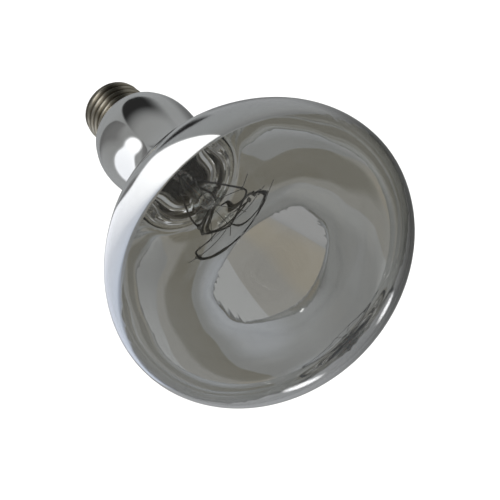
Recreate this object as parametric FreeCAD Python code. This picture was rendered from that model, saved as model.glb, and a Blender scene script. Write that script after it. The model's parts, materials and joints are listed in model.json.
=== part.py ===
import FreeCAD, Part
import os, math
from FreeCAD import Vector as V

os.makedirs("parts", exist_ok=True)

# ---------------------------------------------------------------- dimensions
# The lamp is drawn along +Z from the centre contact (station 0) to the front
# dome, and turned at the end so that its axis lies along Y, front to -Y.

# glass envelope, outer meridian: (station, radius)
WALL = 1.1
ENVELOPE = [
    (15.5, 10.60), (18.0, 10.75), (21.0, 10.80), (23.6, 11.05), (25.1, 12.20),
    (25.9, 14.20), (26.9, 16.40), (28.6, 18.00), (31.5, 19.25), (35.5, 20.40),
    (40.0, 21.00), (46.0, 20.95), (52.0, 20.45), (58.0, 19.90), (63.0, 19.60),
    (67.5, 19.62), (70.5, 19.88), (73.0, 20.35), (75.2, 21.02), (77.2, 21.92),
    (79.4, 23.25), (81.4, 24.75), (84.9, 27.68), (90.2, 32.35), (95.6, 37.31),
    (101.0, 42.25), (106.5, 46.84), (111.75, 50.74), (117.2, 54.20), (122.6, 57.21),
    (128.0, 59.68), (133.3, 61.42), (137.5, 62.27), (141.5, 62.55), (146.0, 62.10),
    (150.0, 60.90), (155.0, 58.45), (160.0, 54.75), (164.0, 50.80), (167.5, 46.30),
    (170.5, 40.90), (172.8, 34.50), (174.55, 26.00), (175.48, 16.00), (175.88, 8.00),
    (176.0, 0.0)]

# reflecting film on the inner face of neck and bowl
FILM_T = 0.08
FILM_FROM = 27.4
FILM_TO = 147.4

# E27 screw cap
PITCH = 3.629
R_MAJOR = 13.15
R_MINOR = 12.25
SHEET = 0.32
THREAD_FROM = 6.6
THREAD_TO = 22.8
RUN_OUT = 2.2
CAP_RIM = 25.2
CONTACT_R = 4.9

# stem
FLARE_TUBE_R = 5.6
FLARE_WALL = 0.9
PRESS_FROM = 57.0
PRESS_TO = 71.0
PRESS_W = 11.4
PRESS_T = 4.8
PRESS_ANGLE = -40.0
LEAD_PITCH_R = 2.6
EXHAUST_R = 2.0
ARBOR_R = 1.7
BUTTON_R = 2.7
BUTTON_FROM = 90.5
BUTTON_TO = 97.0

# wires
COIL_R = 0.42
SUPPORT_R = 0.14
INNER_LEAD_R = 0.5
SEAL_R = 0.35
OUTER_LEAD_R = 0.3
FUSE_R = 0.12
EYE_R = 0.72

# centre line of the filament coil, one hand-strung ring: (x, y, station)
COIL = [
    (-5.61, -8.05, 98.18), (-8.18, -4.77, 98.20), (-10.63, 0.60, 98.29),
    (-12.46, 6.24, 98.41), (-12.76, 8.56, 98.48), (-11.42, 10.71, 98.60),
    (-9.53, 12.68, 98.74), (-7.43, 13.88, 98.86), (-5.10, 13.42, 98.93),
    (-2.34, 11.88, 98.98), (2.78, 9.72, 99.11), (8.36, 7.27, 99.23),
    (12.68, 5.34, 99.33), (14.56, 3.53, 99.34), (14.12, 1.45, 99.25),
    (12.57, -1.83, 99.08), (11.50, -4.03, 98.97), (10.48, -6.13, 98.86),
    (8.84, -9.17, 98.69), (7.65, -10.72, 98.60), (5.15, -11.48, 98.48),
    (2.14, -11.75, 98.35), (-0.14, -11.83, 98.26), (-2.50, -11.75, 98.18),
    (-4.05, -10.96, 98.15)]

# supports: (index of the coil point held, station at the button, tail)
SUPPORTS = [
    (4, 93.2, None),
    (7, 94.4, None),
    (12, 95.6, (14.50, 11.76, 100.5)),
    (16, 96.2, (14.30, -5.60, 99.6)),
    (19, 94.6, (7.04, -14.04, 100.2)),
    (22, 96.2, (-0.92, -14.55, 99.8)),
]


# ---------------------------------------------------------------- helpers
def pt(station, r):
    return V(r, 0, station)


def spline(points):
    c = Part.BSplineCurve()
    c.interpolate(Points=points)
    return c


def crowned(points, mirrored=8):
    # a meridian that ends on the axis and meets it square: carried on to the other
    # side as its own mirror image, then cut at the axis
    c = spline(points + [V(-p.x, 0, p.z) for p in points[-2:-2 - mirrored:-1]])
    c.segment(c.FirstParameter, c.parameter(points[-1]))
    return c


def lines(points):
    return [Part.LineSegment(points[i], points[i + 1]).toShape()
            for i in range(len(points) - 1)]


def turn(edges):
    w = Part.Wire(Part.__sortEdges__(edges))
    return Part.Face(w).revolve(V(0, 0, 0), V(0, 0, 1), 360)


def turned(points):
    p = [pt(s, r) for s, r in points]
    return turn(lines(p + [p[0]]))


def path(points, rmax=1e9):
    p = [V(*q) for q in points]
    edges = []
    last = p[0]
    for k in range(1, len(p) - 1):
        a = p[k - 1] - p[k]
        b = p[k + 1] - p[k]
        la, lb = a.Length, b.Length
        a.normalize()
        b.normalize()
        bend = math.pi - a.getAngle(b)
        if bend < 1e-4:
            continue
        reach = min(0.48 * la, 0.48 * lb, rmax * math.tan(bend / 2))
        r = reach / math.tan(bend / 2)
        mid = a + b
        mid.normalize()
        if (p[k] + a * reach - last).Length > 1e-7:
            edges.append(Part.LineSegment(last, p[k] + a * reach).toShape())
        edges.append(Part.Arc(p[k] + a * reach, p[k] + mid * (r / math.cos(bend / 2) - r),
                              p[k] + b * reach).toShape())
        last = p[k] + b * reach
    edges.append(Part.LineSegment(last, p[-1]).toShape())
    return Part.Wire(edges)


def rod(points, r):
    pts = [V(*p) for p in points]
    if len(pts) == 2:
        d = pts[1] - pts[0]
        return Part.makeCylinder(r, d.Length, pts[0], d)
    prof = Part.Wire([Part.makeCircle(r, pts[0], pts[1] - pts[0])])
    return path(points).makePipeShell([prof], True, False)


def one(shape):
    return shape.Solids[0] if len(shape.Solids) == 1 else shape


# ---------------------------------------------------------------- envelope
outer = crowned([pt(s, r) for s, r in ENVELOPE])
U0, U1 = outer.FirstParameter, outer.LastParameter


def inset(u, d):
    p = outer.value(u)
    t = outer.tangent(u)[0]
    t.normalize()
    n = V(-t.z, 0, t.x)
    return p + n * d


def inset_curve(ua, ub, d, n):
    return [inset(ua + (ub - ua) * i / n, d) for i in range(n + 1)]


inner_pts = inset_curve(U0, U1, WALL, 120)
inner_pts[-1] = V(0, 0, inner_pts[-1].z)
inner = crowned(inner_pts)
glass_bulb = turn([outer.toShape(), inner.toShape()]
                  + lines([inner_pts[0], outer.value(U0)])
                  + lines([outer.value(U1), inner_pts[-1]]))


def at_station(s, d):
    lo, hi = U0, U1
    for _ in range(60):
        mid = 0.5 * (lo + hi)
        if inset(mid, d).z < s:
            lo = mid
        else:
            hi = mid
    return 0.5 * (lo + hi)


fa, fb = at_station(FILM_FROM, WALL), at_station(FILM_TO, WALL)
film_o = inset_curve(fa, fb, WALL, 110)
film_i = inset_curve(fa, fb, WALL + FILM_T, 110)
reflector_coating = turn([spline(film_o).toShape(), spline(film_i).toShape()]
                         + lines([film_o[0], film_i[0]])
                         + lines([film_o[-1], film_i[-1]]))

# ---------------------------------------------------------------- screw cap
R_MEAN = 0.5 * (R_MAJOR + R_MINOR)
AMP = 0.5 * (R_MAJOR - R_MINOR) / 0.97


def smooth(x):
    x = max(0.0, min(1.0, x))
    return x * x * (3 - 2 * x)


def thread_r(th, s):
    w0 = smooth((s - THREAD_FROM) / RUN_OUT)
    w1 = smooth((THREAD_TO - s) / RUN_OUT)
    wave = math.cos(2 * math.pi * s / PITCH - th)
    return R_MEAN + AMP * (w0 * w1 * wave + (1 - w1))


def thread_face(inset_r, na=48, spans=72):
    # cubic net, closed round the axis; the poles stand a little proud so that the
    # surface itself passes through the wanted radii
    ring_k = (2 + math.cos(2 * math.pi / na)) / 3
    step = (THREAD_TO - THREAD_FROM) / spans
    knots = [0, 0, 0] + list(range(spans + 1)) + [spans] * 3
    stations = [THREAD_FROM + step * sum(knots[j + 1:j + 4]) / 3.0 for j in range(spans + 3)]
    poles = []
    for i in range(na):
        th = 2 * math.pi * i / na
        poles.append([V(math.cos(th) * (thread_r(th, s) - inset_r) / ring_k,
                        math.sin(th) * (thread_r(th, s) - inset_r) / ring_k, s) for s in stations])
    b = Part.BSplineSurface()
    b.buildFromPolesMultsKnots(poles, [1] * (na + 1), [4] + [1] * (spans - 1) + [4],
                               list(range(na + 1)), list(range(spans + 1)), True, False, 3, 3)
    return b.toShape()


skins = [thread_face(0.0), thread_face(SHEET)]


def end_ring(s):
    ring = []
    for f in skins:
        ring += [e for e in f.Edges
                 if all(abs(e.valueAt(e.FirstParameter + k * (e.LastParameter - e.FirstParameter)).z - s) < 1e-4
                        for k in (0.0, 0.3, 0.7))]
    return Part.makeFace([Part.Wire([e]) for e in ring], "Part::FaceMakerBullseye")


shell = Part.makeShell(skins + [end_ring(THREAD_FROM), end_ring(THREAD_TO)])
shell.sewShape()
band = Part.makeSolid(shell)
if band.Volume < 0:
    band.reverse()

lip = turned([(7.2, R_MEAN + 0.12), (6.3, R_MEAN + 0.12), (5.7, 12.45), (5.2, 11.75),
              (5.0, 11.0), (5.36, 11.0), (5.55, 11.6), (5.95, 12.05), (6.4, R_MEAN - SHEET - 0.12),
              (7.2, R_MEAN - SHEET - 0.12)])
collar = turned([(22.2, R_MAJOR + 0.05), (24.4, R_MAJOR + 0.05), (CAP_RIM, R_MAJOR + 0.42),
                 (CAP_RIM, R_MAJOR), (24.5, R_MAJOR - SHEET - 0.08), (22.2, R_MAJOR - SHEET - 0.08)])
cap_shell = one(band.fuse([lip, collar]))

centre_contact = turned([(0.0, 2.3), (0.0, 4.3), (0.18, 4.7), (0.5, CONTACT_R), (1.0, CONTACT_R),
                         (1.0, 1.3), (0.55, 1.3)])
contact_solder = turned([(0.0, 0.0), (0.0, 2.26), (0.54, 1.28), (1.0, 1.28), (1.5, 0.9), (1.5, 0.0)])
cap_insulator = turned([(1.0, 1.4), (1.0, 5.3), (1.3, 5.9), (5.1, 10.3), (5.3, 10.8), (5.37, 10.96),
                        (5.57, 11.57), (5.98, 12.03), (6.42, 12.25), (7.1, 12.25), (7.35, 11.85), (8.2, 11.85),
                        (8.2, 10.4), (6.6, 9.6), (3.2, 3.4), (2.6, 1.4)])

# ---------------------------------------------------------------- stem
ft_i = FLARE_TUBE_R - FLARE_WALL
fo = spline([pt(15.5, 9.6), pt(16.6, 8.2), pt(19.0, 6.7), pt(23.0, 5.85), pt(28.0, FLARE_TUBE_R)])
fi = spline([pt(14.5, 9.6), pt(15.6, 7.6), pt(18.4, 5.85), pt(22.6, 4.95), pt(28.0, ft_i)])
stem_flare = turn([fo.toShape(), fi.toShape()]
                  + lines([pt(28.0, FLARE_TUBE_R), pt(PRESS_FROM, FLARE_TUBE_R),
                           pt(PRESS_FROM, ft_i), pt(28.0, ft_i)])
                  + lines([pt(15.5, 9.6), pt(15.5, 10.6), pt(14.9, 10.6), pt(14.5, 10.2), pt(14.5, 9.6)]))

pa = math.radians(PRESS_ANGLE)
LA = (LEAD_PITCH_R * math.cos(pa), LEAD_PITCH_R * math.sin(pa))
LB = (-LA[0], -LA[1])


def ring_hole(xy, r, s0, s1):
    return Part.makeCylinder(r, s1 - s0, V(xy[0], xy[1], s0))


half = 0.5 * PRESS_T
flat = 0.5 * PRESS_W - half
core = Part.makeBox(2 * flat, PRESS_T, PRESS_TO - PRESS_FROM, V(-flat, -half, PRESS_FROM))
ends = [Part.makeCylinder(half, PRESS_TO - PRESS_FROM, V(x, 0, PRESS_FROM)) for x in (-flat, flat)]
press = core.fuse(ends).removeSplitter()
foot = Part.makeCone(FLARE_TUBE_R, half, 5.0, V(0, 0, PRESS_FROM))
press = press.fuse(foot).removeSplitter()
press = press.makeFillet(0.9, [e for e in press.Edges if all(abs(v.Z - PRESS_TO) < 1e-6 for v in e.Vertexes)
                           and abs(e.CenterOfMass.z - PRESS_TO) < 1e-6])
press.rotate(V(0, 0, 0), V(0, 0, 1), PRESS_ANGLE)
for xy in (LA, LB):
    press = press.cut([ring_hole(xy, OUTER_LEAD_R, PRESS_FROM - 1, 60.0), ring_hole(xy, SEAL_R, 60.0, 69.0),
                       ring_hole(xy, INNER_LEAD_R, 69.0, PRESS_TO + 1)])
stem_press = one(press)

tip = Part.makeSphere(EXHAUST_R, V(0, 0, 11.6))
tube = Part.makeCylinder(EXHAUST_R, PRESS_FROM - 11.6, V(0, 0, 11.6))
pump = Part.makeCylinder(1.2, PRESS_FROM - 12.6, V(0, 0, 12.6))
exhaust_tube = one(tube.fuse(tip).removeSplitter().cut(pump))

arbor_rod = Part.makeCylinder(ARBOR_R, BUTTON_FROM - PRESS_TO, V(0, 0, PRESS_TO))
button = Part.makeCylinder(BUTTON_R, BUTTON_TO - BUTTON_FROM, V(0, 0, BUTTON_FROM))
button = button.makeFillet(1.5, [e for e in button.Edges if e.Curve.TypeId == "Part::GeomCircle"])

# ---------------------------------------------------------------- filament and its wires
filament_coil = rod(COIL, COIL_R)


def coil_tangent(i):
    return V(*COIL[i + 1]) - V(*COIL[i - 1])


wires = []
for i, s0, tail in SUPPORTS:
    c = V(*COIL[i])
    t = coil_tangent(i)
    t.normalize()
    a = math.atan2(c.y, c.x)
    start = V(1.1 * math.cos(a), 1.1 * math.sin(a), s0)
    to = start - c
    to = to - t * to.dot(t)
    to.normalize()
    end = c + to * (EYE_R - 0.04)
    eye = Part.makeTorus(EYE_R, SUPPORT_R * 1.1, c, t)
    bits = [rod([(start.x, start.y, start.z), (end.x, end.y, end.z)], SUPPORT_R)]
    if tail:
        out = V(*tail) - c
        away = out - t * out.dot(t)
        away.normalize()
        root = c + away * (EYE_R - 0.04)
        bits.append(rod([(root.x, root.y, root.z), tail], SUPPORT_R))
        bits.append(Part.makeSphere(SUPPORT_R * 1.3, V(*tail)))
    wires.append(one(eye.fuse(bits).cut(filament_coil)))
support_button = one(button.cut(wires))
support_wires = Part.makeCompound([w for x in wires for w in x.Solids])

inner_lead_a = rod([(LA[0], LA[1], 69.0), (LA[0], LA[1], 73.2), (3.2, -1.7, 78.0), (5.2, -1.0, 86.0),
                    (5.49, -0.69, 90.5), (3.47, -3.43, 93.0), (-0.62, -5.46, 95.2), (-3.93, -7.61, 96.9),
                    (-5.25, -8.0, 97.45)], INNER_LEAD_R)
inner_lead_b = rod([(LB[0], LB[1], 69.0), (LB[0], LB[1], 73.2), (-2.6, -0.8, 76.4), (-1.6, -3.1, 79.0),
                    (1.2, -4.6, 82.6), (3.3, -5.6, 86.2), (3.4, -6.7, 89.4), (0.70, -7.93, 92.3),
                    (-2.23, -9.86, 95.0), (-3.75, -10.75, 97.3)], INNER_LEAD_R)


def clamp(p, direction, cutters):
    d = V(*direction)
    d.normalize()
    body = Part.makeCylinder(0.86, 2.0, V(*p) - d * 1.0, d)
    return one(body.cut(cutters))


filament_clamp_a = clamp((-5.45, -8.05, 97.85), (-0.25, 0.0, 1.0), [filament_coil, inner_lead_a])
filament_clamp_b = clamp((-3.92, -10.88, 97.85), (-0.25, -0.15, 1.0), [filament_coil, inner_lead_b])

seal_wire_a = ring_hole(LA, SEAL_R, 60.0, 69.0)
seal_wire_b = ring_hole(LB, SEAL_R, 60.0, 69.0)


def axial(xy, k):
    return (xy[0] * k, xy[1] * k)


a1 = axial(LA, 1.25)
outer_lead_contact = rod([(LA[0], LA[1], 60.0), (LA[0], LA[1], 55.0), (a1[0], a1[1], 44.0),
                          (a1[0], a1[1], 30.0), (a1[0], a1[1], 14.0), (2.1, -1.6, 8.5), (0.6, -0.4, 4.6),
                          (0.0, 0.0, 2.8), (0.0, 0.0, 1.5)], OUTER_LEAD_R)
b1 = axial(LB, 1.25)
fuse_top, fuse_end = 38.0, 28.0
lead_b_up = rod([(LB[0], LB[1], 60.0), (LB[0], LB[1], 55.0), (b1[0], b1[1], 46.0), (b1[0], b1[1], fuse_top)],
                OUTER_LEAD_R)
rb = math.atan2(LB[1], LB[0])


def pol(r, s):
    return (r * math.cos(rb), r * math.sin(rb), s)


lead_b_down = rod([(b1[0], b1[1], fuse_end), (b1[0], b1[1], 20.0), pol(4.4, 15.5), pol(7.4, 12.9),
                   pol(10.2, 12.9), pol(11.35, 15.6), pol(11.38, 19.0), pol(11.5, 22.0), pol(12.35, 24.9)],
                  OUTER_LEAD_R)
outer_lead_shell = Part.makeCompound([lead_b_up, lead_b_down])
fuse_link = Part.makeCylinder(FUSE_R, fuse_top - fuse_end, V(b1[0], b1[1], fuse_end))

cement = turned([(19.2, 10.80), (21.0, 10.82), (23.6, 11.08), (24.7, 11.85), (24.7, 12.60), (23.0, 12.60),
                 (22.0, 12.30), (20.4, 11.80), (19.2, 11.80)])
cap_cement = one(cement.cut([lead_b_down, glass_bulb, cap_shell]))

blob = Part.makeSphere(1.05, V(*pol(13.2, 24.7)))
side_solder = one(blob.cut([cap_shell, glass_bulb, cap_cement, lead_b_down]))

# ---------------------------------------------------------------- export
NODES = {
    "glass_bulb": glass_bulb, "reflector_coating": reflector_coating,
    "cap_shell": cap_shell, "cap_insulator": cap_insulator, "centre_contact": centre_contact,
    "contact_solder": contact_solder, "side_solder": side_solder, "cap_cement": cap_cement,
    "stem_flare": stem_flare, "stem_press": stem_press, "exhaust_tube": exhaust_tube,
    "arbor_rod": arbor_rod, "support_button": support_button, "support_wires": support_wires,
    "filament_coil": filament_coil,
    "inner_lead_a": inner_lead_a, "inner_lead_b": inner_lead_b,
    "filament_clamp_a": filament_clamp_a, "filament_clamp_b": filament_clamp_b,
    "seal_wire_a": seal_wire_a, "seal_wire_b": seal_wire_b,
    "outer_lead_contact": outer_lead_contact, "outer_lead_shell": outer_lead_shell,
    "fuse_link": fuse_link,
}
for name, shape in NODES.items():
    shape = shape.copy()
    shape.rotate(V(0, 0, 0), V(1, 0, 0), 90)
    shape.exportStep("parts/%s.step" % name)
    print(name, shape.ShapeType, len(shape.Solids), shape.isValid(), round(shape.Volume, 2))
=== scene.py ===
import bpy
import json
import math
import random
import numpy as np
from mathutils import Matrix, Vector


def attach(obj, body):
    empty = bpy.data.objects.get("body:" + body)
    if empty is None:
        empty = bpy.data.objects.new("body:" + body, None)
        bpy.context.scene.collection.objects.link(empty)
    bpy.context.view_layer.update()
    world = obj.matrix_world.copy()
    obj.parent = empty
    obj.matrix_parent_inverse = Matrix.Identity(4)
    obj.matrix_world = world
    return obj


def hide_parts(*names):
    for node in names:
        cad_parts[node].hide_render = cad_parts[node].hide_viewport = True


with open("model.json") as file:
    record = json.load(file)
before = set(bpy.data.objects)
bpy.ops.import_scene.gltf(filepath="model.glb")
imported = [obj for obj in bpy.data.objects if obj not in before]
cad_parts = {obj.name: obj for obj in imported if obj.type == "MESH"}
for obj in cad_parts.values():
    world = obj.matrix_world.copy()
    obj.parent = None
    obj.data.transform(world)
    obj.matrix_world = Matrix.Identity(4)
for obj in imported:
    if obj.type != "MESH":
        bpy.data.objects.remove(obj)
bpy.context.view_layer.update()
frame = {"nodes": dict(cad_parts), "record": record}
nodes = frame["nodes"]
MM = 0.001
rng = random.Random(20)

# ------------------------------------------------------------------ profile
# outer meridian of the glass: (station from the contact, radius) in mm
WALL = 1.1
FILM_T = 0.08
FILM_FROM, FILM_TO = 27.4, 147.4
ENVELOPE = [
    (15.5, 10.60), (18.0, 10.75), (21.0, 10.80), (23.6, 11.05), (25.1, 12.20),
    (25.9, 14.20), (26.9, 16.40), (28.6, 18.00), (31.5, 19.25), (35.5, 20.40),
    (40.0, 21.00), (46.0, 20.95), (52.0, 20.45), (58.0, 19.90), (63.0, 19.60),
    (67.5, 19.62), (70.5, 19.88), (73.0, 20.35), (75.2, 21.02), (77.2, 21.92),
    (79.4, 23.25), (81.4, 24.75), (84.9, 27.68), (90.2, 32.35), (95.6, 37.31),
    (101.0, 42.25), (106.5, 46.84), (111.75, 50.74), (117.2, 54.20), (122.6, 57.21),
    (128.0, 59.68), (133.3, 61.42), (137.5, 62.27), (141.5, 62.55), (146.0, 62.10),
    (150.0, 60.90), (155.0, 58.45), (160.0, 54.75), (164.0, 50.80), (167.5, 46.30),
    (170.5, 40.90), (172.8, 34.50), (174.55, 26.00), (175.48, 16.00), (175.88, 8.00),
    (176.0, 0.0)]


class Spline:
    """Cubic through points, by chord length, with free ends."""

    def __init__(self, pts):
        self.p = np.array(pts, float)
        d = np.linalg.norm(np.diff(self.p, axis=0), axis=1)
        self.t = np.concatenate([[0.0], np.cumsum(d)])
        n = len(self.p)
        a = np.zeros((n, n))
        b = np.zeros((n, self.p.shape[1]))
        a[0, 0] = a[-1, -1] = 1.0
        for i in range(1, n - 1):
            h0, h1 = self.t[i] - self.t[i - 1], self.t[i + 1] - self.t[i]
            a[i, i - 1], a[i, i], a[i, i + 1] = h0, 2 * (h0 + h1), h1
            b[i] = 6 * ((self.p[i + 1] - self.p[i]) / h1 - (self.p[i] - self.p[i - 1]) / h0)
        self.m = np.linalg.solve(a, b)

    def at(self, t, d=0):
        t = np.atleast_1d(np.asarray(t, float))
        i = np.clip(np.searchsorted(self.t, t, side="right") - 1, 0, len(self.t) - 2)
        h = (self.t[i + 1] - self.t[i])[:, None]
        a = (self.t[i + 1] - t)[:, None]
        b = (t - self.t[i])[:, None]
        m0, m1, p0, p1 = self.m[i], self.m[i + 1], self.p[i], self.p[i + 1]
        if d == 0:
            return m0 * a ** 3 / (6 * h) + m1 * b ** 3 / (6 * h) + (p0 / h - m0 * h / 6) * a + (p1 / h - m1 * h / 6) * b
        return -m0 * a ** 2 / (2 * h) + m1 * b ** 2 / (2 * h) - (p0 / h - m0 * h / 6) + (p1 / h - m1 * h / 6)


env = Spline(ENVELOPE + [(s, -r) for s, r in ENVELOPE[-2:-10:-1]])
T_END = env.t[len(ENVELOPE) - 1]


def meridian(t, inset=0.0):
    p, d = env.at(t), env.at(t, 1)
    n = np.stack([d[:, 1], -d[:, 0]], 1) / np.linalg.norm(d, axis=1)[:, None]
    q = p + n * inset
    q[:, 1] = np.maximum(q[:, 1], 0.0)
    return q


def t_at(station, inset):
    lo, hi = 0.0, T_END
    for _ in range(60):
        mid = 0.5 * (lo + hi)
        if meridian([mid], inset)[0, 0] < station:
            lo = mid
        else:
            hi = mid
    return lo


# ------------------------------------------------------------------ mesh helpers
def place(x, y, s):
    """Local (x, y, station) in mm to the row frame in metres."""
    return np.stack([np.asarray(x), -np.asarray(s), np.asarray(y)], -1) * MM


def mesh_object(name, verts, faces, smooth=True):
    me = bpy.data.meshes.new(name)
    me.from_pydata(np.asarray(verts, float).tolist(), [], faces)
    me.validate()
    me.update()
    if smooth:
        me.polygons.foreach_set("use_smooth", [True] * len(me.polygons))
    o = bpy.data.objects.new(name, me)
    bpy.context.scene.collection.objects.link(o)
    return o


def skin(name, s, r, seg, closed=True):
    """Closed skin of rows of (station, radius); s and r are (rows, seg) arrays over the
    angle, and a row of zero radius becomes a single vertex."""
    th = 2 * math.pi * np.arange(seg) / seg
    verts, index = [], []
    count = 0
    for i in range(len(s)):
        if np.all(np.abs(r[i]) < 1e-6):
            verts.append(place([0.0], [0.0], s[i, :1]))
            index.append(np.full(seg, count))
            count += 1
        else:
            verts.append(place(r[i] * np.cos(th), r[i] * np.sin(th), s[i]))
            index.append(np.arange(count, count + seg))
            count += seg
    faces = []
    for i in range(len(s) if closed else len(s) - 1):
        a, b = index[i], index[(i + 1) % len(s)]
        a2, b2 = np.roll(a, -1), np.roll(b, -1)
        if a[0] == a[1] and b[0] == b[1]:
            continue
        if a[0] == a[1]:
            faces += np.stack([a, b2, b], 1).tolist()
        elif b[0] == b[1]:
            faces += np.stack([a, a2, b], 1).tolist()
        else:
            faces += np.stack([a, a2, b2, b], 1).tolist()
    return mesh_object(name, np.concatenate(verts), faces)


def lathe(name, prof, seg=256, wave=None):
    """Turns a closed profile of (station, radius) about the axis; wave(s, th) adds to
    the radius."""
    prof = np.asarray(prof, float)
    th = 2 * math.pi * np.arange(seg) / seg
    s = np.repeat(prof[:, :1], seg, 1)
    r = np.repeat(prof[:, 1:], seg, 1)
    if wave is not None:
        r = np.where(r > 1e-6, r + wave(s, th[None, :]), r)
    return skin(name, s, r, seg)


def tube(name, pts, r, sides=10, ends=True, r_of=None):
    """A round wire through a dense list of local points."""
    p = np.asarray(pts, float)
    t = np.gradient(p, axis=0)
    t /= np.linalg.norm(t, axis=1)[:, None]
    x = np.cross([0, 0, 1.0], t[0])
    if np.linalg.norm(x) < 0.1:
        x = np.cross([1.0, 0, 0], t[0])
    rows = []
    for i in range(len(p)):
        x = x - t[i] * np.dot(x, t[i])
        x /= np.linalg.norm(x)
        y = np.cross(t[i], x)
        rad = r if r_of is None else r_of(i / (len(p) - 1.0))
        a = np.arange(sides) * 2 * math.pi / sides
        rows.append(p[i] + rad * (np.cos(a)[:, None] * x + np.sin(a)[:, None] * y))
    v = np.concatenate(rows)
    verts = place(v[:, 0], v[:, 1], v[:, 2])
    faces = []
    for i in range(len(p) - 1):
        for k in range(sides):
            k2 = (k + 1) % sides
            faces.append([i * sides + k, i * sides + k2, (i + 1) * sides + k2, (i + 1) * sides + k])
    if ends:
        faces.append(list(range(sides))[::-1])
        faces.append([(len(p) - 1) * sides + k for k in range(sides)])
    return mesh_object(name, verts, faces)


def smooth01(x):
    x = np.clip(x, 0.0, 1.0)
    return x * x * (3 - 2 * x)


# ------------------------------------------------------------------ materials
def new_material(name):
    m = bpy.data.materials.new(name)
    m.use_nodes = True
    nt = m.node_tree
    b = nt.nodes["Principled BSDF"]
    return m, nt, b


def coords(nt, scale=None):
    """Object coordinates in metres, stretched per axis if asked."""
    tc = nt.nodes.new("ShaderNodeTexCoord")
    if scale is None:
        return tc.outputs["Object"]
    mp = nt.nodes.new("ShaderNodeMapping")
    mp.inputs["Scale"].default_value = scale
    nt.links.new(tc.outputs["Object"], mp.inputs["Vector"])
    return mp.outputs["Vector"]


def noise(nt, scale, detail=4.0, rough=0.5, vec=None, dist=0.0):
    n = nt.nodes.new("ShaderNodeTexNoise")
    n.inputs["Scale"].default_value = scale
    n.inputs["Detail"].default_value = detail
    n.inputs["Roughness"].default_value = rough
    n.inputs["Distortion"].default_value = dist
    nt.links.new(coords(nt) if vec is None else vec, n.inputs["Vector"])
    return n.outputs["Fac"]


def ramp(nt, fac, stops):
    r = nt.nodes.new("ShaderNodeValToRGB")
    e = r.color_ramp.elements
    while len(e) < len(stops):
        e.new(0.5)
    for k, (pos, col) in enumerate(stops):
        e[k].position = pos
        e[k].color = (col[0], col[1], col[2], 1.0)
    nt.links.new(fac, r.inputs["Fac"])
    return r.outputs["Color"]


def map_range(nt, fac, lo, hi, a=0.0, b=1.0, kind="LINEAR"):
    m = nt.nodes.new("ShaderNodeMapRange")
    m.interpolation_type = kind
    m.inputs["From Min"].default_value = a
    m.inputs["From Max"].default_value = b
    m.inputs["To Min"].default_value = lo
    m.inputs["To Max"].default_value = hi
    nt.links.new(fac, m.inputs["Value"])
    return m.outputs["Result"]


def math_node(nt, op, a, b):
    m = nt.nodes.new("ShaderNodeMath")
    m.operation = op
    for k, v in enumerate((a, b)):
        if isinstance(v, (int, float)):
            m.inputs[k].default_value = v
        else:
            nt.links.new(v, m.inputs[k])
    return m.outputs[0]


def mix_colour(nt, fac, a, b, blend="MIX"):
    m = nt.nodes.new("ShaderNodeMix")
    m.data_type = "RGBA"
    m.blend_type = blend
    ins = [s for s in m.inputs if s.enabled]
    for s, v in zip(ins, (fac, a, b)):
        if isinstance(v, (int, float)):
            s.default_value = v
        elif isinstance(v, tuple):
            s.default_value = (v[0], v[1], v[2], 1.0)
        else:
            nt.links.new(v, s)
    return [s for s in m.outputs if s.enabled][0]


def bump(nt, b, height, strength, distance):
    n = nt.nodes.new("ShaderNodeBump")
    n.inputs["Strength"].default_value = strength
    n.inputs["Distance"].default_value = distance
    nt.links.new(height, n.inputs["Height"])
    nt.links.new(n.outputs["Normal"], b.inputs["Normal"])


def radius(nt):
    """Distance from the lamp's axis, in metres."""
    v = nt.nodes.new("ShaderNodeVectorMath")
    v.operation = "MULTIPLY"
    v.inputs[1].default_value = (1.0, 0.0, 1.0)
    nt.links.new(coords(nt), v.inputs[0])
    w = nt.nodes.new("ShaderNodeVectorMath")
    w.operation = "LENGTH"
    nt.links.new(v.outputs[0], w.inputs[0])
    return w.outputs["Value"]


def along(nt):
    """Station from the contact, in metres."""
    sep = nt.nodes.new("ShaderNodeSeparateXYZ")
    nt.links.new(coords(nt), sep.inputs[0])
    return math_node(nt, "MULTIPLY", sep.outputs["Y"], -1.0)


def metal(name, dark, light, rough, scale=300.0, bump_s=0.0, bump_d=0.00005, rscale=None, vec_scale=None):
    m, nt, b = new_material(name)
    vec = None if vec_scale is None else coords(nt, vec_scale)
    f = noise(nt, scale, vec=vec)
    nt.links.new(ramp(nt, f, [(0.3, dark), (0.7, light)]), b.inputs["Base Color"])
    b.inputs["Metallic"].default_value = 1.0
    g = noise(nt, rscale or scale * 0.4)
    nt.links.new(map_range(nt, g, rough[0], rough[1]), b.inputs["Roughness"])
    if bump_s:
        bump(nt, b, f, bump_s, bump_d)
    return m


def glass(name, tint_a, tint_b, rough=0.0, ior=1.5):
    m, nt, b = new_material(name)
    f = noise(nt, 40.0, 2.0)
    nt.links.new(ramp(nt, f, [(0.3, tint_a), (0.7, tint_b)]), b.inputs["Base Color"])
    b.inputs["Roughness"].default_value = rough
    b.inputs["IOR"].default_value = ior
    b.inputs["Transmission Weight"].default_value = 1.0
    return m


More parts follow.
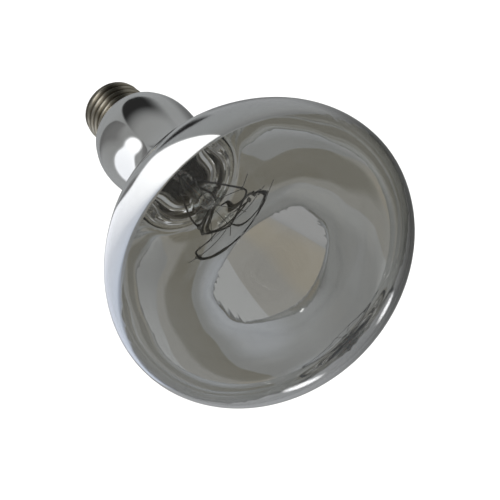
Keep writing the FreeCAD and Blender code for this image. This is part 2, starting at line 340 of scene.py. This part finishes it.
def film(name):
    """Aluminium film: even in the bowl, thinner and greyer towards its front edge. It is painted
    lighter in the neck as painted light on its dim inside, and dark next to the cap as painted shade."""
    m, nt, b = new_material(name)
    f = noise(nt, 22.0, 5.0, 0.6)
    base = ramp(nt, f, [(0.30, FILM_DARK), (0.70, FILM_LIGHT)])
    edge = map_range(nt, along(nt), 0.0, 1.0, 0.1436, 0.1480, "SMOOTHSTEP")
    c = mix_colour(nt, edge, base, (0.58, 0.58, 0.57))
    # painted light: the film is made lighter in the neck to brighten its dim, many-times-reflected inside
    neck_painted_light = map_range(nt, along(nt), 0.92, 0.0, 0.070, 0.086, "SMOOTHSTEP")
    c = mix_colour(nt, neck_painted_light, c, (0.965, 0.96, 0.945))
    # painted shade: a dark band at the film's start by the cap stands in for the shaded ring there
    cap_side_painted_shade = map_range(nt, along(nt), 0.6, 0.0, 0.0275, 0.0288, "SMOOTHSTEP")
    c = mix_colour(nt, cap_side_painted_shade, c, (0.13, 0.12, 0.105))
    nt.links.new(c, b.inputs["Base Color"])
    b.inputs["Metallic"].default_value = 1.0
    g = noise(nt, 60.0, 6.0, 0.65)
    nt.links.new(map_range(nt, g, 0.012, 0.04), b.inputs["Roughness"])
    return m


def cap_metal(name):
    """Rolled sheet, dull, stained and painted darker as shade in the roots, rubbed and painted
    lighter as highlight on the crests, with the fine lines of drawing round it."""
    m, nt, b = new_material(name)
    # crest mask: rubbed crests, also painted light as highlight, against roots painted dark as shade
    crest_wear_and_highlight_mask = map_range(nt, radius(nt), 0.0, 1.0, 0.01225, 0.01312, "SMOOTHSTEP")
    lines = noise(nt, 1.0, 3.0, 0.6, coords(nt, (60.0, 9000.0, 60.0)))
    stain = noise(nt, 260.0, 7.0, 0.62)
    spots = noise(nt, 1400.0, 3.0, 0.5)
    root = ramp(nt, stain, [(0.30, CAP_ROOT_STAIN_SHADE_D), (0.72, CAP_ROOT_STAIN_SHADE_L)])
    crest = ramp(nt, stain, [(0.28, CAP_CREST_WEAR_HIGHLIGHT_D), (0.70, CAP_CREST_WEAR_HIGHLIGHT_L)])
    c = mix_colour(nt, crest_wear_and_highlight_mask, root, crest)
    c = mix_colour(nt, map_range(nt, lines, 0.0, 0.28, 0.45, 0.75), c, (0.22, 0.19, 0.13))
    c = mix_colour(nt, map_range(nt, spots, 0.0, 0.45, 0.60, 0.78), c, (0.16, 0.13, 0.09))
    nt.links.new(c, b.inputs["Base Color"])
    b.inputs["Metallic"].default_value = 1.0
    r = math_node(nt, "ADD", map_range(nt, stain, 0.20, 0.40), map_range(nt, crest_wear_and_highlight_mask, 0.10, 0.0))
    nt.links.new(r, b.inputs["Roughness"])
    bump(nt, b, math_node(nt, "ADD", lines, math_node(nt, "MULTIPLY", spots, 0.7)), 0.25, 0.00003)
    return m


def matte(name, dark, light, rough, scale, spec=0.5, bump_s=0.0):
    m, nt, b = new_material(name)
    f = noise(nt, scale, 6.0, 0.6)
    nt.links.new(ramp(nt, f, [(0.3, dark), (0.7, light)]), b.inputs["Base Color"])
    nt.links.new(map_range(nt, f, rough[0], rough[1]), b.inputs["Roughness"])
    b.inputs["Specular IOR Level"].default_value = spec
    if bump_s:
        bump(nt, b, f, bump_s, 0.0001)
    return m


FILM_DARK, FILM_LIGHT = (0.83, 0.83, 0.815), (0.865, 0.865, 0.85)
# cap colours: stained roots painted darker as shade, rubbed crests painted lighter as highlight
CAP_ROOT_STAIN_SHADE_D, CAP_ROOT_STAIN_SHADE_L = (0.10, 0.085, 0.055), (0.24, 0.21, 0.15)
CAP_CREST_WEAR_HIGHLIGHT_D, CAP_CREST_WEAR_HIGHLIGHT_L = (0.52, 0.47, 0.365), (0.80, 0.755, 0.64)

m_glass = glass("clear_glass", (0.985, 0.99, 0.99), (1.0, 1.0, 1.0))
m_stem = glass("stem_glass", (0.95, 0.97, 0.96), (0.99, 1.0, 0.99), 0.0, 1.68)
m_film = film("mirror_film")
m_cap = cap_metal("nickel_cap")
m_brass = metal("brass_contact", (0.48, 0.35, 0.16), (0.72, 0.56, 0.28), (0.26, 0.44), 500.0, 0.15)
m_solder = metal("solder", (0.42, 0.42, 0.42), (0.66, 0.66, 0.65), (0.30, 0.52), 900.0, 0.4)
m_tungsten = metal("tungsten", (0.045, 0.045, 0.05), (0.10, 0.10, 0.105), (0.35, 0.5), 900.0)
m_moly = metal("molybdenum_wire", (0.12, 0.12, 0.12), (0.22, 0.22, 0.22), (0.28, 0.42), 700.0)
m_nickel = metal("nickel_wire", (0.10, 0.10, 0.095), (0.20, 0.195, 0.18), (0.28, 0.42), 600.0)
m_copper = metal("copper_wire", (0.52, 0.22, 0.11), (0.72, 0.36, 0.2), (0.25, 0.38), 600.0)
m_seal = metal("seal_metal", (0.42, 0.16, 0.08), (0.55, 0.24, 0.13), (0.3, 0.4), 600.0)
m_fuse = metal("fuse_metal", (0.42, 0.4, 0.38), (0.55, 0.53, 0.5), (0.3, 0.4), 600.0)
m_black = matte("black_glass", (0.006, 0.006, 0.008), (0.02, 0.02, 0.024), (0.06, 0.2), 300.0)
m_cement = matte("cement", (0.66, 0.61, 0.52), (0.84, 0.80, 0.71), (0.7, 0.9), 800.0, 0.3, 0.4)

SLOTS = {
    "clear_glass": m_glass, "stem_glass": m_stem, "mirror_film": m_film, "nickel_cap": m_cap,
    "black_glass": m_black, "brass_contact": m_brass, "solder": m_solder, "cement": m_cement,
    "tungsten": m_tungsten, "molybdenum_wire": m_moly, "nickel_wire": m_nickel, "seal_metal": m_seal,
    "copper_wire": m_copper, "fuse_metal": m_fuse}
slot_of = {p["node"]: p["material_slot"] for p in frame["record"]["subparts"]}


def dress(o, material):
    o.data.materials.clear()
    o.data.materials.append(material)


for name, o in nodes.items():
    if not o.data.materials:
        o.data.materials.append(None)
    for k in range(len(o.material_slots)):
        o.material_slots[k].material = SLOTS[slot_of[name]]


def piece(o, node, *more):
    dress(o, SLOTS[slot_of[node]])
    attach(o, "root")
    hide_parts(node, *more)
    return o


# ------------------------------------------------------------------ glass and film
# the blown wall is not perfectly true: a few slow waves, hundredths of a millimetre deep,
# shared by the glass and the film on it
WAVES = []
for k in range(9):
    WAVES.append((rng.choice([2, 3, 4, 5, 6, 7]), rng.uniform(-0.16, 0.16), rng.uniform(0, 6.28),
                  rng.uniform(0.5, 1.0) * 0.006))


def waviness(s, th):
    w = sum(a * np.cos(k * th + m * s + p) for k, m, p, a in WAVES)
    return w * smooth01((s - 28.0) / 12.0) * smooth01((168.0 - s) / 12.0)


SKIN = 0.03
SEG_G = 360
t = np.concatenate([np.linspace(0, T_END * 0.985, 250), np.linspace(T_END * 0.985, T_END, 10)[1:]])
outer, inner = meridian(t, SKIN), meridian(t, WALL)
outer[-1, 1] = inner[-1, 1] = 0.0
th = 2 * math.pi * np.arange(SEG_G)[None, :] / SEG_G
gs = np.vstack([np.repeat(outer[:, :1], SEG_G, 1), np.repeat(inner[::-1, :1], SEG_G, 1)])
gi = np.repeat(inner[::-1, 1:], SEG_G, 1)
gi = np.where(gi > 1e-6, gi + waviness(gs[len(outer):], th), 0.0)
gr = np.vstack([np.repeat(outer[:, 1:], SEG_G, 1), gi])
piece(skin("bulb_glass", gs, gr, SEG_G), "glass_bulb")

# the film stops in a slightly ragged line, as the mask of the coating leaves it
SEG_F, NF, GAP = 480, 190, 0.015
rag = np.zeros(SEG_F)
th = 2 * math.pi * np.arange(SEG_F) / SEG_F
k = 0
while k < SEG_F:
    w = rng.choice([3, 4, 5, 6, 7, 8])
    h = rng.uniform(-0.5, 1.0) * rng.choice([0.5, 0.8, 1.0])
    for j in range(w):
        if k + j < SEG_F:
            rag[k + j] += h * (1 - abs(2 * (j + 0.5) / w - 1))
    k += w
near = np.cos(th - math.radians(128.0))
rag *= 0.25 + 2.5 * smooth01((0.70 - near) / 0.30)
for m_ in range(1, 6):
    ph, am = rng.uniform(0, 6.28), rng.uniform(0.03, 0.12)
    rag += am * np.cos(m_ * th + ph)
ta = t_at(FILM_FROM, WALL)
t_end = np.array([t_at(FILM_TO - 0.55 + v, WALL) for v in rag])
u = np.linspace(0.0, 1.0, NF)
back, front = np.zeros((NF, SEG_F, 2)), np.zeros((NF, SEG_F, 2))
for k in range(SEG_F):
    tk = ta + (t_end[k] - ta) * u
    for grid, inset in ((back, WALL + GAP), (front, WALL + FILM_T)):
        q = meridian(tk, inset)
        q[:, 1] += waviness(q[:, 0], th[k])
        grid[:, k] = q
g = np.vstack([back, front[::-1]])
piece(skin("bulb_mirror", g[..., 0], g[..., 1], SEG_F), "reflector_coating")

# ------------------------------------------------------------------ filament helix
COIL = [
    (-5.61, -8.05, 98.18), (-8.18, -4.77, 98.20), (-10.63, 0.60, 98.29), (-12.46, 6.24, 98.41),
    (-12.76, 8.56, 98.48), (-11.42, 10.71, 98.60), (-9.53, 12.68, 98.74), (-7.43, 13.88, 98.86),
    (-5.10, 13.42, 98.93), (-2.34, 11.88, 98.98), (2.78, 9.72, 99.11), (8.36, 7.27, 99.23),
    (12.68, 5.34, 99.33), (14.56, 3.53, 99.34), (14.12, 1.45, 99.25), (12.57, -1.83, 99.08),
    (11.50, -4.03, 98.97), (10.48, -6.13, 98.86), (8.84, -9.17, 98.69), (7.65, -10.72, 98.60),
    (5.15, -11.48, 98.48), (2.14, -11.75, 98.35), (-0.14, -11.83, 98.26), (-2.50, -11.75, 98.18),
    (-4.05, -10.96, 98.15)]
cs = Spline(COIL)
PITCH_C, R_COIL, R_WIRE, PER = 0.25, 0.335, 0.08, 14
length = cs.t[-1]
turns = length / PITCH_C
n = int(turns * PER)
tt = np.linspace(0, length, n)
cp, cd = cs.at(tt), cs.at(tt, 1)
cd /= np.linalg.norm(cd, axis=1)[:, None]
x = np.cross([0, 0, 1.0], cd[0])
hel = np.zeros((n, 3))
for i in range(n):
    x = x - cd[i] * np.dot(x, cd[i])
    x /= np.linalg.norm(x)
    y = np.cross(cd[i], x)
    a = 2 * math.pi * i / PER
    hel[i] = cp[i] + R_COIL * (math.cos(a) * x + math.sin(a) * y)
piece(tube("filament_helix", hel, R_WIRE, 6), "filament_coil")

# ------------------------------------------------------------------ screw cap
PITCH, R_MEAN, AMP = 3.629, 12.70, 0.45 / 0.97
SHEET = 0.32


def thread(s, th):
    w0, w1 = smooth01((s - 6.6) / 2.2), smooth01((22.8 - s) / 2.2)
    return AMP * (w0 * w1 * np.cos(2 * math.pi * s / PITCH - th) + (1 - w1))


# outside from the rolled lip to the flared rim, then back along the inside
lip = Spline([(5.04, 11.0), (5.22, 11.70), (5.62, 12.28), (6.05, 12.58), (6.6, 12.70)])
out_a = [tuple(v) for v in lip.at(np.linspace(0, lip.t[-1], 14))]
out_b = [(s, R_MEAN) for s in np.linspace(6.75, 24.1, 150)]
out_c = [(24.35, 12.71), (24.6, 12.77), (24.85, 12.88), (25.05, 13.02)]
rim = [(25.13, 13.07), (25.185, 13.05), (25.19, 12.96), (25.17, 12.80), (25.10, 12.68)]
lip_in = Spline([(6.6, 12.70 - SHEET), (6.25, 12.30), (5.90, 12.05), (5.52, 11.55), (5.36, 11.0)])
in_c = [(24.9, 12.56), (24.6, 12.44), (24.35, 12.40)]
in_b = [(s, R_MEAN - SHEET) for s in np.linspace(24.1, 6.75, 90)]
in_a = [tuple(v) for v in lip_in.at(np.linspace(0, lip_in.t[-1], 12))]
end = [(5.28, 10.94), (5.16, 10.93), (5.07, 10.95)]
prof = out_a + out_b + out_c + rim + in_c + in_b + in_a + end
piece(lathe("cap_thread", prof, 240, thread), "cap_shell")

# ------------------------------------------------------------------ stage, light, camera
# one pale cove: flat floor that sweeps up into a round wall, seen by the camera only
FLOOR_Z = -0.60
cove = [(0.0, 0.0)] + [(r, 0.0) for r in (0.4, 0.8, 1.4, 2.2, 3.0, 4.0, 5.0)]
cove += [(5.0 + 2.5 * math.sin(a), 2.5 - 2.5 * math.cos(a)) for a in np.linspace(0, math.pi / 2, 17)[1:]]
cove += [(7.5, 4.0), (7.5, 6.0), (7.5, 8.0)]
verts, faces, index = [], [], []
for r, z in cove:
    if r == 0.0:
        index.append([0] * 96)
        verts.append((0, 0, FLOOR_Z))
    else:
        index.append(list(range(len(verts), len(verts) + 96)))
        verts += [(r * math.cos(a), r * math.sin(a), FLOOR_Z + z) for a in np.arange(96) * 2 * math.pi / 96]
for a, b in zip(index[:-1], index[1:]):
    for k in range(96):
        k2 = (k + 1) % 96
        quad = []
        for v in (a[k], a[k2], b[k2], b[k]):
            if v not in quad:
                quad.append(v)
        faces.append(quad)
floor = mesh_object("floor", verts, faces)
m_floor = matte("floor_paint", (0.86, 0.86, 0.86), (0.88, 0.88, 0.88), (0.8, 0.9), 3.0, 0.1)
dress(floor, m_floor)
floor.visible_glossy = False
floor.visible_transmission = False

world = bpy.data.worlds.new("studio")
bpy.context.scene.world = world
world.use_nodes = True
wn = world.node_tree
bg = wn.nodes["Background"]
tcw = wn.nodes.new("ShaderNodeTexCoord")


def direction(az, el):
    """az from the front (-Y) towards +X, el up, in degrees."""
    az, el = math.radians(az), math.radians(el)
    return (math.cos(el) * math.sin(az), -math.cos(el) * math.cos(az), math.sin(el))


def facing(normal, lo, hi):
    """1 where a direction leans more than hi degrees towards the normal, 0 under lo."""
    d = wn.nodes.new("ShaderNodeVectorMath")
    d.operation = "DOT_PRODUCT"
    n = Vector(normal).normalized()
    d.inputs[1].default_value = n
    wn.links.new(tcw.outputs["Generated"], d.inputs[0])
    return map_range(wn, d.outputs["Value"], 0.0, 1.0, math.sin(math.radians(lo)), math.sin(math.radians(hi)), "SMOOTHSTEP")


def lobe(colour, az, el, inner, outer, value, strength=1.0):
    """Mixes a soft round patch of light into the surroundings."""
    k = facing(direction(az, el), 90 - outer, 90 - inner)
    return mix_colour(wn, math_node(wn, "MULTIPLY", k, strength), colour, value)


def edge_through(a, b, side):
    """Normal of the plane through two directions, turned towards a third."""
    n = Vector(direction(*a)).cross(Vector(direction(*b)))
    return n if n.dot(Vector(direction(*side))) > 0 else -n


# a dim, even room; (az, el, inner, outer, colour, strength)
sky = (0.257, 0.261, 0.260)
for az, el, i0, i1, col, amt in (
        (0, -90, 20, 80, (0.333, 0.342, 0.350), 1.0),
        (-80, -45, 10, 55, (0.43, 0.45, 0.485), 1.0),
        (15, 65, 6, 38, (0.375, 0.380, 0.379), 1.0),
        (-66, 0, 6, 16, (0.335, 0.335, 0.335), 1.0),
        (172, 5, 15, 50, (0.294, 0.303, 0.308), 1.0),
        (118, -20, 8, 38, (0.070, 0.070, 0.068), 1.0),
        (95, -65, 2, 6, (3.6, 3.6, 3.65), 1.0),
        (94, -42, 1, 4.5, (3.4, 3.4, 3.45), 1.0)):
    sky = lobe(sky, az, el, i0, i1, col, amt)
# a warm backdrop in front and to the left
wall = (0.285, 0.278, 0.258)
wall = lobe(wall, -64, 30, 8, 24, (0.318, 0.292, 0.240), 1.0)
wall = lobe(wall, -24, 14, 19, 26, (0.182, 0.172, 0.143), 1.0)
k = math_node(wn, "MULTIPLY", facing(edge_through((-66, 12), (-30, 0.5), (-45, 30)), -0.5, 0.5),
              facing(edge_through((-25, 70), (4, 37), (-45, 30)), -0.5, 0.5))
k = math_node(wn, "MULTIPLY", k, facing(direction(-30, 20), 12.0, 20.0))
sky = mix_colour(wn, k, sky, wall)
wn.links.new(sky, bg.inputs["Color"])
bg.inputs["Strength"].default_value = 1.0


def area(name, loc, target, size, radiance, color=(1, 1, 1), glossy=True):
    l = bpy.data.lights.new(name, "AREA")
    l.shape = "RECTANGLE"
    l.size, l.size_y = size
    l.energy = radiance * math.pi * size[0] * size[1]
    l.color = color
    o = bpy.data.objects.new(name, l)
    bpy.context.scene.collection.objects.link(o)
    o.location = loc
    d = Vector(target) - Vector(loc)
    o.rotation_euler = d.to_track_quat("-Z", "Y").to_euler()
    o.visible_glossy = glossy
    o.visible_camera = False
    o.visible_transmission = glossy
    return o


area("flood", (0.0, 0.0, 5.5), (0, 0, FLOOR_Z), (9.0, 9.0), 1.9, glossy=False)
area("front_fill", (-0.35, -2.2, 0.9), (0, -0.08, 0), (0.8, 0.8), 10.0, glossy=False)
area("flood_far", (0.5, 0.8, 2.6), (0.5, 0.8, FLOOR_Z), (1.6, 1.6), 1.6, glossy=False)

# three studio cards close behind the lamp, seen only in its reflections
def card(name, corners, colours, soft, slant=0.0, lift=0.0, bite=None):
    """A four-cornered card: corners in turn, colour from its first to its last edge, and
    edges that fade over a share of its width. The colours climb by slant and spread by
    lift across the card. bite, as (height, half width, depth), hollows its first side."""
    n = 24
    a, b, c, d = [np.array(v, float) for v in corners]
    g = np.linspace(0, 1, n + 1)
    verts, faces = [], []
    for y in g:
        for x in g:
            verts.append((a * (1 - x) + b * x) * (1 - y) + (d * (1 - x) + c * x) * y)
    for y in range(n):
        for x in range(n):
            k = y * (n + 1) + x
            faces.append([k, k + 1, k + n + 2, k + n + 1])
    o = mesh_object(name, verts, faces)
    uv = o.data.uv_layers.new(name="card")
    for loop in o.data.loops:
        v = loop.vertex_index
        uv.data[loop.index].uv = ((v % (n + 1)) / n, (v // (n + 1)) / n)
    m = bpy.data.materials.new(name)
    m.use_nodes = True
    nt = m.node_tree
    nt.nodes.remove(nt.nodes["Principled BSDF"])
    tc = nt.nodes.new("ShaderNodeUVMap")
    tc.uv_map = "card"
    sep = nt.nodes.new("ShaderNodeSeparateXYZ")
    nt.links.new(tc.outputs[0], sep.inputs[0])
    em = nt.nodes.new("ShaderNodeEmission")
    up = sep.outputs["Y"]
    if slant or lift:
        up = math_node(nt, "SUBTRACT", up, math_node(nt, "MULTIPLY", sep.outputs["X"], slant))
        up = math_node(nt, "DIVIDE", up, math_node(nt, "ADD", math_node(nt, "MULTIPLY", sep.outputs["X"], lift), 1.0))
    nt.links.new(ramp(nt, up, colours), em.inputs["Color"])
    k = None
    for sock, lo, hi in (("X", soft[0], soft[1]), ("Y", soft[2], soft[3])):
        e0 = sep.outputs[sock]
        if bite and sock == "X":
            off = math_node(nt, "ABSOLUTE", math_node(nt, "SUBTRACT", sep.outputs["Y"], bite[0]), 0.0)
            off = map_range(nt, off, bite[2], 0.0, 0.0, bite[1], "SMOOTHSTEP")
            e0 = math_node(nt, "SUBTRACT", e0, off)
        e0 = map_range(nt, e0, 0.0, 1.0, 0.0, lo, "SMOOTHSTEP")
        e1 = map_range(nt, sep.outputs[sock], 1.0, 0.0, 1.0 - hi, 1.0, "SMOOTHSTEP")
        e = math_node(nt, "MULTIPLY", e0, e1)
        k = e if k is None else math_node(nt, "MULTIPLY", k, e)
    tr = nt.nodes.new("ShaderNodeBsdfTransparent")
    mx = nt.nodes.new("ShaderNodeMixShader")
    nt.links.new(k, mx.inputs[0])
    nt.links.new(tr.outputs[0], mx.inputs[1])
    nt.links.new(em.outputs[0], mx.inputs[2])
    nt.links.new(mx.outputs[0], nt.nodes["Material Output"].inputs["Surface"])
    dress(o, m)
    o.visible_camera = o.visible_diffuse = o.visible_shadow = False
    return o


def around(centre, az, el, turn_, hw, hh):
    n = Vector((math.cos(el) * math.sin(az), -math.cos(el) * math.cos(az), math.sin(el)))
    u = Vector((math.cos(az), math.sin(az), 0.0))
    v = n.cross(u)
    u2 = u * math.cos(turn_) + v * math.sin(turn_)
    v2 = -u * math.sin(turn_) + v * math.cos(turn_)
    c = Vector(centre)
    return [c - u2 * hw - v2 * hh, c + u2 * hw - v2 * hh, c + u2 * hw + v2 * hh, c - u2 * hw + v2 * hh]


card("card_white", [(-0.0289, -0.0332, -0.268), (-0.927, 0.449, -0.69), (-0.927, 0.449, 1.110), (-0.0309, -0.0321, 0.2586)],
     [(0.02, (0.38, 0.41, 0.48)), (0.14, (0.57, 0.62, 0.72)), (0.36, (0.62, 0.65, 0.72)), (0.62, (1.40, 1.40, 1.41))],
     (0.004, 0.05, 0.13, 0.03), slant=0.30, lift=0.6, bite=(0.52, 0.06, 0.022))
card("card_black", around((0.0338, 0.1057, 0.0457), 2.5809, -1.4717, -0.2933, 0.0235, 0.1565),
     [(0.0, (0.02, 0.02, 0.02)), (1.0, (0.03, 0.03, 0.03))], (0.38, 0.10, 0.055, 0.10))
card("card_grey", around((-0.0755, 0.0649, 0.0541), -1.336, -0.3534, -0.6888, 0.118, 0.037),
     [(0.0, (0.10, 0.10, 0.10)), (1.0, (0.17, 0.17, 0.17))], (0.08, 0.08, 0.15, 0.15))

CAM = (-0.4051, -0.9201, 0.5146)
RIGHT, UP, BACK = (0.88965, -0.45664, 0.0), (0.23007, 0.44824, 0.86380), (-0.39445, -0.76848, 0.50384)
cd_ = bpy.data.cameras.new("camera")
cam = bpy.data.objects.new("camera", cd_)
bpy.context.scene.collection.objects.link(cam)
cam.matrix_world = Matrix(((RIGHT[0], UP[0], BACK[0], CAM[0]), (RIGHT[1], UP[1], BACK[1], CAM[1]),
                           (RIGHT[2], UP[2], BACK[2], CAM[2]), (0, 0, 0, 1)))
cd_.sensor_width = 36.0
cd_.lens = 194.09
cd_.clip_end = 100.0
bpy.context.scene.camera = cam

sc = bpy.context.scene
sc.view_settings.view_transform = "Standard"
sc.view_settings.look = "None"
sc.cycles.max_bounces = 24
sc.cycles.glossy_bounces = 12
sc.cycles.transmission_bounces = 20
